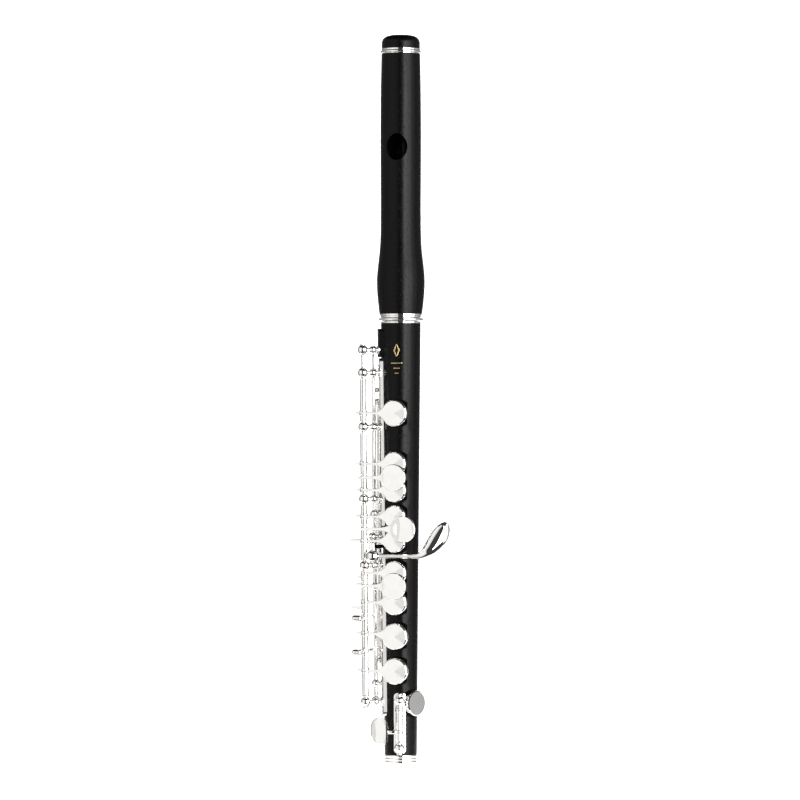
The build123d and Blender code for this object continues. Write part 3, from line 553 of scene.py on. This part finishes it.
# Drilled ball: a half circle cut off where the bore meets it, turned about the rod
def ballOnRod(hinge, z, ball, bore, sides=44):
    turn = np.linspace(asin(bore / ball), pi - asin(bore / ball), 30)
    profile = np.stack([ball * np.sin(turn), ball * np.cos(turn)], 1)
    return turnedShell(profile, linePoint(hinge, z), jointLine(hinge)[1], sides, loop=True)


def postShells(hinge, z, ball, bore, carrier):
    s = postShape
    centre = linePoint(hinge, z)
    outward = away(centre)
    length = hypot(centre[0], centre[1]) - woodRadius(z) - s[carrier] + s["sink"]
    top = length - ball * cos(asin(s["stem"] / ball)) + 0.1 * mm
    step = min(s["step"], top * 0.45)
    low = [(0, 0), (s["foot"], 0), (s["foot"], step * 0.75), (s["stem"] + 0.3 * mm, step * 1.05),
           (s["stem"], step * 1.6)]
    if top > s["beadFrom"]:  # a round bead on the long stems
        middle = length - s["beadDrop"]
        turn = np.linspace(0.5, pi - 0.5, 16)
        low += [(s["bead"] * sin(t), middle - s["bead"] * cos(t)) for t in turn]
    stem = roundCorners(low + [(s["stem"], top), (0, top)], 0.12 * mm)
    return [turnedShell(stem, centre - outward * length, outward, 32),
            ballOnRod(hinge, z, ball, bore)]


for name, rows in posts.items():
    shells = []
    for hinge, ball, bore, carrier, heights in rows:
        for z in heights:
            shells += postShells(hinge, z * mm, ball * mm, bore * mm, carrier)
    if name == "main_posts":
        shells.append(ballOnRod(**sharedBall))
    makePiece(f"{name.replace('_', '')}Turned", shells, "body_joint",
              brightSilver, (name,))
print("posts made")


# Rings turned about the bore, each a closed profile of (radius, height) with rounded corners
def beadPoints(radius, middle, half, depth):
    turn = np.linspace(-pi / 2, pi / 2, 12)
    return [(radius - depth + depth * cos(t), middle + half * sin(t)) for t in turn]


rings = {
    "foot_ring": ("body_joint", [
        (4.5, 0.02), (6.8, 0.02), (7.14, 0.3), (7.2, 0.75), (7.14, 1.25), (6.9, 1.38), (6.9, 1.6),
        (7.14, 1.72), (7.2, 2.1), (7.14, 2.5), (6.9, 2.62), (6.9, 2.84), (7.14, 2.96), (7.2, 3.4),
        (7.14, 3.85), (7.04, 3.98), (6.56, 3.98), (6.56, 0.78), (4.5, 0.78)]),
    "body_ring": ("body_joint", [(7.12, 193.32), (8.9, 193.32), (8.9, 193.95), (8.75, 194.13),
                                 (7.12, 194.13)]),
    "head_ring": ("head_joint", [
        (7.3, 194.25), (9.0, 194.25), *beadPoints(10.15, 195.05, 0.72, 0.8), (9.03, 195.85),
        (9.03, 196.5), (9.4, 196.62), (9.43, 197.35), (9.35, 197.48), (7.3, 197.48)]),
    "crown_ring": ("head_joint", [
        (5.5, 311.62), (8.6, 311.62), *beadPoints(9.2, 312.45, 0.6, 0.6), (8.6, 313.05),
        (8.72, 313.15), (8.72, 313.8), (8.6, 313.88), (5.5, 313.88)]),
}
for name, (body, outline) in rings.items():
    closed = np.array(outline + outline[:2]) * mm
    profile = roundCorners(closed, 0.07 * mm, 4)[1:-1]
    ring = turnedShell(profile, (0, 0, 0), up, 128, loop=True)
    makePiece(f"{name.replace('_', '')}Turned", [ring], body, brightSilver,
              (name,))
print("rings made")


# G sharp key: hub and button, lever bending up into a domed leaf round the right-hand side;
# lower and upper are the leaf's two edges, route the bearings and heights of the cup's arm
sharpKey = dict(
    z=91.3 * mm, lift=2.2 * mm, button=2.8 * mm, squash=0.86, aside=0.9 * mm, proud=1.1 * mm,
    hub=2.05 * mm, neck=(0.95 * mm, 0.75 * mm), lever=0.8, leverGrowth=0.18,
    leverHeight=0.62 * mm, leverShort=1.5 * mm, leafHalf=0.5 * mm, leafFull=2.6 * mm,
    dome=1.25 * mm, bend=42 * mm, tube=(89.3, 97.8), tubeWall=(1.6 * mm, 0.8 * mm, 0.14 * mm),
    cup=(-75, 95.2, 4.6), cupArm=(0.9 * mm, 1.1 * mm),
    route=[(8, 0.85), (-12, 0.8), (-30, 0.75), (-50, 1.4)],
    lower=[(-3.0, -0.85), (0.8, -1.1), (2.9, -1.15), (5.9, -0.75), (9.4, 0.8), (12.9, 4.0),
           (15.1, 8.0), (15.8, 11.6), (15.3, 14.0), (14.2, 15.1)],
    upper=[(-3.0, 0.85), (0.8, 1.05), (2.4, 1.6), (3.6, 2.9), (5.2, 5.9), (7.4, 10.0),
           (10.1, 13.5), (12.1, 14.9), (13.4, 15.2), (14.0, 15.2)],
)


# Smooth curve through points, each axis a running average of straight runs
def smoothRow(points, count):
    points = np.asarray(points, float)
    steps = np.linspace(0, len(points) - 1, count * 4)
    row = np.stack([np.interp(steps, np.arange(len(points)), points[:, k]) for k in range(2)], 1)
    for _ in range(int(count * 1.2)):
        row[1:-1] = (row[:-2] + 2 * row[1:-1] + row[2:]) / 4
    return row[np.linspace(0, len(row) - 1, count).round().astype(int)]


# Leaf: rows that run between the two edges; the face rises above them as a dome, highest in the
# middle and falling with the square and fourth power of cos u, and bends back along a circle
def leafShell(barY):
    s = sharpKey
    side = woodRadius(s["z"])
    low, high = smoothRow(s["lower"], 48) * mm, smoothRow(s["upper"], 48) * mm
    middle, reach = (low + high) / 2, (high - low) / 2
    u = np.linspace(0, 2 * pi, 40, endpoint=False)
    c = np.cos(u)
    edge = np.sign(np.sin(u)) * np.abs(np.sin(u)) ** 0.7 * s["leafHalf"]
    flat = middle[:, None] + reach[:, None] * c[:, None]
    grow = np.clip(np.linalg.norm(reach, axis=1) / s["leafFull"], 0, 1)[:, None]
    dome = s["dome"] * grow ** 2 * (1 - 0.45 * c ** 2 - 0.55 * c ** 4)
    turned = np.clip(flat[..., 0], 0, None)
    back = s["bend"] - np.sqrt(s["bend"] ** 2 - turned ** 2)
    y = barY + back - dome + edge
    grid = np.stack([side + flat[..., 0], y, s["z"] + flat[..., 1]], -1)
    ends = [np.repeat(ring.mean(0)[None], len(u), 0)[None] for ring in (grid[0], grid[-1])]
    return np.concatenate([ends[0], grid, ends[1]]), False


def ballShell(centre, radius, axis=(0, -1, 0), squash=1.0):
    turn = np.linspace(0, pi, 28)
    return turnedShell(np.stack([radius * np.sin(turn), -radius * squash * np.cos(turn)], 1),
                       centre, axis, 40)


# Side key's cup with the arm that carries it, closed on its seat; cup is its bearing, height
# and radius, arm its thickness and half width
sideCupShape = dict(sink=0.2 * mm, seat=2.4 * mm, bendReach=1.6 * mm)


def sideCup(hinge, cup, armZ, arm, route=()):
    s = sideCupShape
    bearing, z, radius = cup[0], cup[1] * mm, cup[2] * mm
    thickness, width = arm
    face = onWood(bearing, z, -s["sink"])
    end = onWood(bearing, z, s["seat"] - thickness / 2)
    path = np.array([linePoint(hinge, armZ), *route, end])
    if len(path) == 2:
        path = path[0] + (path[1] - path[0]) * np.linspace(0, 1, 12)[:, None]
    else:
        path = roundCorners(path, s["bendReach"], 6)
    share = np.linspace(0, 1, len(path))
    return [cupShell(face, away(face), radius),
            carriedShell(path, width * (0.9 + 0.25 * share), thickness / 2, up, 3.2, 20)]


def buildSharpKey():
    s, hinge = sharpKey, "g_sharp_key_hinge"
    hub = linePoint(hinge, s["z"])
    side = woodRadius(s["z"])
    barY = -side - s["lift"]
    button = np.array([hub[0] + s["aside"], barY - s["proud"], s["z"]])
    start = np.array([button[0], barY, s["z"]])
    finish = np.array([side - s["leverShort"], barY, s["z"]])
    t = np.linspace(0, 1, 24)[:, None]
    lever = start + (finish - start) * t
    lean = hub + (button - hub) * np.linspace(0, 1, 8)[:, None]
    z = s["cup"][1] * mm
    route = [onWood(bearing, z, height * mm) for bearing, height in s["route"]]
    shells = [
        tubeShell(hinge, *s["tube"], *s["tubeWall"]),
        ballShell(hub, s["hub"]), ballShell(button, s["button"], squash=s["squash"]),
        carriedShell(lean, *s["neck"], up, 2.4, 20),
        carriedShell(lever, (s["lever"] + s["leverGrowth"] * t[:, 0]) * mm, s["leverHeight"],
                     up, 2.3, 28),
        leafShell(barY),
    ] + sideCup(hinge, s["cup"], z, s["cupArm"], route)
    makePiece("gSharpKeyWork", shells, "g_sharp_key", brightSilver,
              ("g_sharp_key",))


buildSharpKey()


# Trill keys: long thin tube, small cup behind, arm round the main tube to a round-ended touch;
# over, under and tip are offsets from the main tube, bend from the long one, all in mm
trillShape = dict(
    tubeWall=(1.05 * mm, 0.6 * mm, 0.1 * mm), arm=(0.9 * mm, 0.5 * mm),
    cupArm=(0.9 * mm, 1.1 * mm), over=(-4.6, 3.0, 0), under=(-4.6, -2.5, 0),
    tip=(-3.75, -4.6, 0), bendReach=1.5 * mm, touchRadius=1.55 * mm, touchLength=2.25 * mm,
    touchRound=0.8,
)
trillKeys = {
    "d_trill": dict(tube=(29.5, 169.4), cup=(-50, 164.0, 3.5), touch=64.1, bend=(-4.8, -1.7)),
    "d_sharp_trill": dict(tube=(46.5, 156.5), cup=(-75, 152.0, 3.4), touch=49.2,
                          bend=(-3.4, 1.5)),
}


def buildTrillKey(name, made):
    s = trillShape
    hinge, z = f"{name}_key_hinge", made["touch"] * mm
    long = linePoint("d_trill_key_hinge", z)
    over, under, tip = [linePoint("c_key_hinge", z) + np.array(s[stop]) * mm
                        for stop in ("over", "under", "tip")]
    path = roundCorners([linePoint(hinge, z), long + np.array([*made["bend"], 0]) * mm,
                         over, under, tip], s["bendReach"], 7)
    turn = np.linspace(0, pi / 2, 10)
    radius, length = s["touchRadius"], s["touchLength"]
    near = [(radius * sin(a), -radius * s["touchRound"] * cos(a)) for a in turn]
    profile = near + [(r, length - h) for r, h in reversed(near)]
    shells = [
        tubeShell(hinge, *made["tube"], *s["tubeWall"]),
        carriedShell(path, *s["arm"], up, 2.6, 20),
        turnedShell(profile, tip, (1, 0, 0), 40),
    ] + sideCup(hinge, made["cup"], made["cup"][1] * mm, s["cupArm"])
    makePiece(f"{name.replace('_', '')}KeyWork", shells, f"{name}_key", silver,
              (f"{name}_key",))


for name, made in trillKeys.items():
    buildTrillKey(name, made)


# Thumb keys on the back: oval touches, drawn closed like the finger keys and then opened;
# plate is thickness, dome and edge share, riser where the arm turns towards the plate
thumbShape = dict(
    tubeWall=(1.4 * mm, 0.8 * mm, 0.12 * mm), arm=(0.9 * mm, 0.5 * mm),
    cupArm=(0.9 * mm, 1.1 * mm), lift=3.5 * mm, aside=1.0 * mm,
    plate=(1.05 * mm, 0.25 * mm, 0.12), half=(4.2 * mm, 3.3 * mm), riserAside=1.4 * mm,
    riserLift=0.5 * mm, bendReach=1.5 * mm,
)
thumbKeys = {
    "thumb_b": dict(tube=(129.9, 144.9), touch=131.8, cup=(-90, 139.8, 5.2)),
    "thumb_b_flat": dict(tube=(118.0, 129.8), touch=123.6, cup=None),
}


def buildThumbKey(name, made):
    s = thumbShape
    hinge, z = f"{name}_key_hinge", made["touch"] * mm
    origin, axis = jointLine(hinge)
    opening = radians(joints[hinge]["range_deg"][1])
    centre = onWood(-90, z, s["lift"]) - np.array([s["aside"], 0, 0])
    root = linePoint(hinge, z)
    rise = np.array([0, centre[1] + s["riserLift"], z])
    path = roundCorners([root, [root[0] + s["riserAside"], rise[1], z], rise], s["bendReach"], 7)
    shells = [
        tubeShell(hinge, *made["tube"], *s["tubeWall"]),
        ovalShell(plateProfile(*s["plate"]), centre, (0, 1, 0), s["half"]),
        carriedShell(path, *s["arm"], up, 2.8, 20),
    ]
    if made["cup"]:
        shells += sideCup(hinge, made["cup"], made["cup"][1] * mm, s["cupArm"])
    opened = [(rotateAbout(grid, origin, axis, -opening), loop) for grid, loop in shells]
    makePiece(f"{name.replace('_', '')}KeyWork", opened, f"{name}_key", silver,
              (f"{name}_key",))


for name, made in thumbKeys.items():
    buildThumbKey(name, made)


# E flat key on the foot: domed oval touch at the left, sprung cup at the right; the plate's
# normal is the wood's at the bearing called facing
flatKey = dict(
    tube=(9.6, 26.0), tubeWall=(1.7 * mm, 0.8 * mm, 0.14 * mm), collarHalf=0.9,
    collarWall=(2.0 * mm, 1.6 * mm, 0.2 * mm), cup=(150, 26.8, 5.6), armZ=24.2 * mm,
    cupArm=(1.1 * mm, 1.1 * mm), touch=14.5 * mm, left=7.1 * mm, lift=4.1 * mm, facing=75,
    plate=(1.2 * mm, 0.28 * mm, 0.16), plateSink=0.6 * mm, half=(4.3 * mm, 6.4 * mm),
    elbow=(-2.2, -1.2, 0), arm=(0.85 * mm, 0.6 * mm), bendReach=1.2 * mm,
)


def buildFlatKey():
    s, hinge = flatKey, "e_flat_key_hinge"
    z = s["touch"]
    normal = away(onWood(s["facing"], z, 0))
    centre = np.array([-s["left"], -woodRadius(z) - s["lift"], z])
    root = linePoint(hinge, z)
    path = roundCorners([root, root + np.array(s["elbow"]) * mm, centre], s["bendReach"], 7)
    collars = [tubeShell(hinge, height - s["collarHalf"], height + s["collarHalf"],
                         *s["collarWall"]) for height in (z / mm, s["armZ"] / mm)]
    shells = [
        tubeShell(hinge, *s["tube"], *s["tubeWall"]), *collars,
        ovalShell(plateProfile(*s["plate"]), centre - normal * s["plateSink"], normal,
                  s["half"], 2.6),
        carriedShell(path, *s["arm"], up, 2.4, 20),
    ] + sideCup(hinge, s["cup"], s["armZ"], s["cupArm"])
    makePiece("eFlatKeyWork", shells, "e_flat_key", silver, ("e_flat_key",))


buildFlatKey()
print("side keys made")


# Gilt ornament let into the wood: a lozenge frame over three bars, each shorter than the last;
# middle, bar and the lozenge's widths are bearings in degrees
ornament = dict(
    top=184.5 * mm, middle=90.0, proud=0.012 * mm, sunk=0.03 * mm,
    bar=17.0, barShares=(1, 0.62, 0.3), barDrop=8.6 * mm, barGap=2.2 * mm, barHeight=0.35 * mm,
    lozenge=9.0, lozengeHalf=3.2 * mm, strokeAcross=4.0, strokeAlong=0.75 * mm,
)


# Grid between four corners, each a bearing and a height, weighed by the share of the way across
# and of the way up; it follows the wood, a little proud of it, with its rim let in
def ornamentPatch(corners):
    corners = np.asarray(corners, float)
    s, t = np.meshgrid(np.linspace(0, 1, 9), np.linspace(0, 1, 5))
    weights = [(1 - s) * (1 - t), s * (1 - t), s * t, (1 - s) * t]
    mixed = sum(weight[..., None] * corner for weight, corner in zip(weights, corners))
    a, z = np.radians(mixed[..., 0]), mixed[..., 1]
    inside = np.minimum(np.minimum(s, 1 - s), np.minimum(t, 1 - t)) > 0
    r = woodRadius(z) + np.where(inside, ornament["proud"], -ornament["sunk"])
    return np.stack([-np.cos(a) * r, -np.sin(a) * r, z], -1), False


def lozengeCorners(across, trim):
    middle, top, half = ornament["middle"], ornament["top"], ornament["lozengeHalf"]
    return [(middle, top - trim), (middle + across, top - half), (middle, top - 2 * half + trim),
            (middle - across, top - half)]


def ornamentShells():
    s = ornament
    quads = []
    for level, share in enumerate(s["barShares"]):
        high = s["top"] - s["barDrop"] - level * s["barGap"]
        low = high - s["barHeight"]
        left, right = s["middle"] - s["bar"] * share, s["middle"] + s["bar"] * share
        quads.append([(left, high), (right, high), (right, low), (left, low)])
    outer = lozengeCorners(s["lozenge"], 0)
    inner = lozengeCorners(s["lozenge"] - s["strokeAcross"], s["strokeAlong"])
    for k in range(4):
        n = (k + 1) % 4
        quads.append([outer[k], outer[n], inner[n], inner[k]])
    return [ornamentPatch(corners) for corners in quads]


gilt = newMaterial(
    "gilt", polish, {"Bright": (0.86, 0.68, 0.34, 1), "Dull": (0.62, 0.46, 0.2, 1), "Smooth": 0.3,
                     "Clouded": 0.5}, {"Metallic": 1.0}, (0.2, 0.00003))
makePiece("giltOrnament", ornamentShells(), "body_joint", gilt, inlay=True)
print("ornament made")


# Pale sweep, wide light panels on both sides and the camera between them; the sweep is given by
# its distances from the object along the line of sight, the paper's glow by where it grows
setting = dict(
    azimuth=12.5, distance=1.573, height=0.1596, lens=161.0, sensor=36.0, shiftX=-0.001,
    floor=-0.014, front=-0.045, flat=0.3, curve=0.2, wallTop=0.6, sweep=0.19, spread=0.1,
    paper=(0.93, 0.93, 0.93, 1), paperRoughness=0.9, glow=0.95, glowFrom=-0.075, glowTo=-0.02,
    glowLeast=0.25, panelDistance=1.15, panelLift=2, dusk=(0.05, 0.05, 0.052, 1),
)
# first and last bearing, brightness and height of each panel
panels = {
    "rightNear": (15, 33, 9.5, 1.0),
    "rightMiddle": (33, 58, 6.0, 1.1),
    "rightFar": (58, 82, 1.6, 1.4),
    "rightEdge": (82, 112, 0.42, 1.7),
    "rightBack": (112, 140, 0.25, 1.7),
    "leftNear": (-34, -15.5, 0.8, 1.9),
    "leftMiddle": (-62, -34, 1.0, 1.9),
    "leftFar": (-88, -62, 0.75, 1.9),
    "leftEdge": (-112, -88, 0.4, 1.9),
    "leftBack": (-140, -112, 0.25, 1.7),
}


# Pale paper whose glow fades evenly towards the front edge
def makePaper():
    s = setting
    paper = bpy.data.materials.new("palePaper")
    paper.use_nodes = True
    tree = paper.node_tree
    shader = tree.nodes["Principled BSDF"]
    shader.inputs["Base Color"].default_value = s["paper"]
    shader.inputs["Roughness"].default_value = s["paperRoughness"]
    shader.inputs["Emission Strength"].default_value = s["glow"]
    place = addNode(tree, "ShaderNodeTexCoord")
    turn = addNode(tree, "ShaderNodeMapping", {"Rotation": (0, 0, -radians(s["azimuth"]))})
    split = addNode(tree, "ShaderNodeSeparateXYZ")
    fade = addNode(tree, "ShaderNodeMapRange",
                   {"From Min": s["glowFrom"], "From Max": s["glowTo"], "To Min": s["glowLeast"]})
    tree.links.new(place.outputs["Object"], turn.inputs["Vector"])
    tree.links.new(turn.outputs[0], split.inputs[0])
    tree.links.new(split.outputs[1], fade.inputs["Value"])
    tree.links.new(fade.outputs[0], shader.inputs["Emission Color"])
    return paper


# Pale floor that curves up into the wall behind: straight, quarter circle, straight
def makeSweep():
    s = setting
    bend = np.linspace(0, pi / 2, 24)
    depth = np.concatenate([[s["front"]], s["flat"] + s["curve"] * np.sin(bend),
                            [s["flat"] + s["curve"]]])
    rise = np.concatenate([[0], s["curve"] * (1 - np.cos(bend)), [s["wallTop"]]])
    a = radians(s["azimuth"])
    back = np.array([-sin(a), cos(a), 0])
    across = np.array([cos(a), sin(a), 0])
    lines = depth[:, None] * back + rise[:, None] * np.array(up) + [0, 0, s["floor"]]
    half = (s["sweep"] + s["spread"] * depth)[:, None]
    grid = np.stack([lines - across * half, lines + across * half], axis=1)
    points, quads = joinGrids([(grid, False)], closed=False)
    mesh = bpy.data.meshes.new("sweep")
    mesh.from_pydata(points, [], quads)
    mesh.polygons.foreach_set("use_smooth", np.ones(len(mesh.polygons), bool))
    mesh.materials.append(makePaper())
    sweep = bpy.data.objects.new("sweep", mesh)
    bpy.context.scene.collection.objects.link(sweep)


# Light panel that spans from one bearing to another, measured at the object from the camera's
# side towards its right; its power follows from the brightness and the area
def lightPanel(name, start, stop, brightness, tall):
    distance, rise = setting["panelDistance"], radians(setting["panelLift"])
    a = radians(setting["azimuth"] + (start + stop) / 2)
    toward = np.array([sin(a) * cos(rise), -cos(a) * cos(rise), sin(rise)])
    light = bpy.data.lights.new(name, "AREA")
    light.shape = "RECTANGLE"
    light.size = 2 * distance * tan(radians(abs(stop - start) / 2))
    light.size_y = tall
    light.energy = brightness * pi * light.size * light.size_y
    lamp = bpy.data.objects.new(name, light)
    bpy.context.scene.collection.objects.link(lamp)
    lamp.location = np.array([0, 0, setting["height"]]) + toward * distance
    lamp.rotation_euler = Vector(toward).to_track_quat("Z", "Y").to_euler()


def makeCamera():
    s = setting
    a = radians(s["azimuth"])
    camera = bpy.data.cameras.new("camera")
    camera.lens, camera.sensor_width, camera.shift_x = s["lens"], s["sensor"], s["shiftX"]
    eye = bpy.data.objects.new("camera", camera)
    bpy.context.scene.collection.objects.link(eye)
    eye.location = (sin(a) * s["distance"], -cos(a) * s["distance"], s["height"])
    eye.rotation_euler = (pi / 2, 0, a)
    bpy.context.scene.camera = eye


makeSweep()
for name, panel in panels.items():
    lightPanel(name, *panel)
makeCamera()
world = bpy.context.scene.world or bpy.data.worlds.new("world")
bpy.context.scene.world = world
world.use_nodes = True
world.node_tree.nodes["Background"].inputs[0].default_value = setting["dusk"]
world.node_tree.nodes["Background"].inputs[1].default_value = 1.0
bpy.context.scene.view_settings.view_transform = "Standard"
print("setting made")
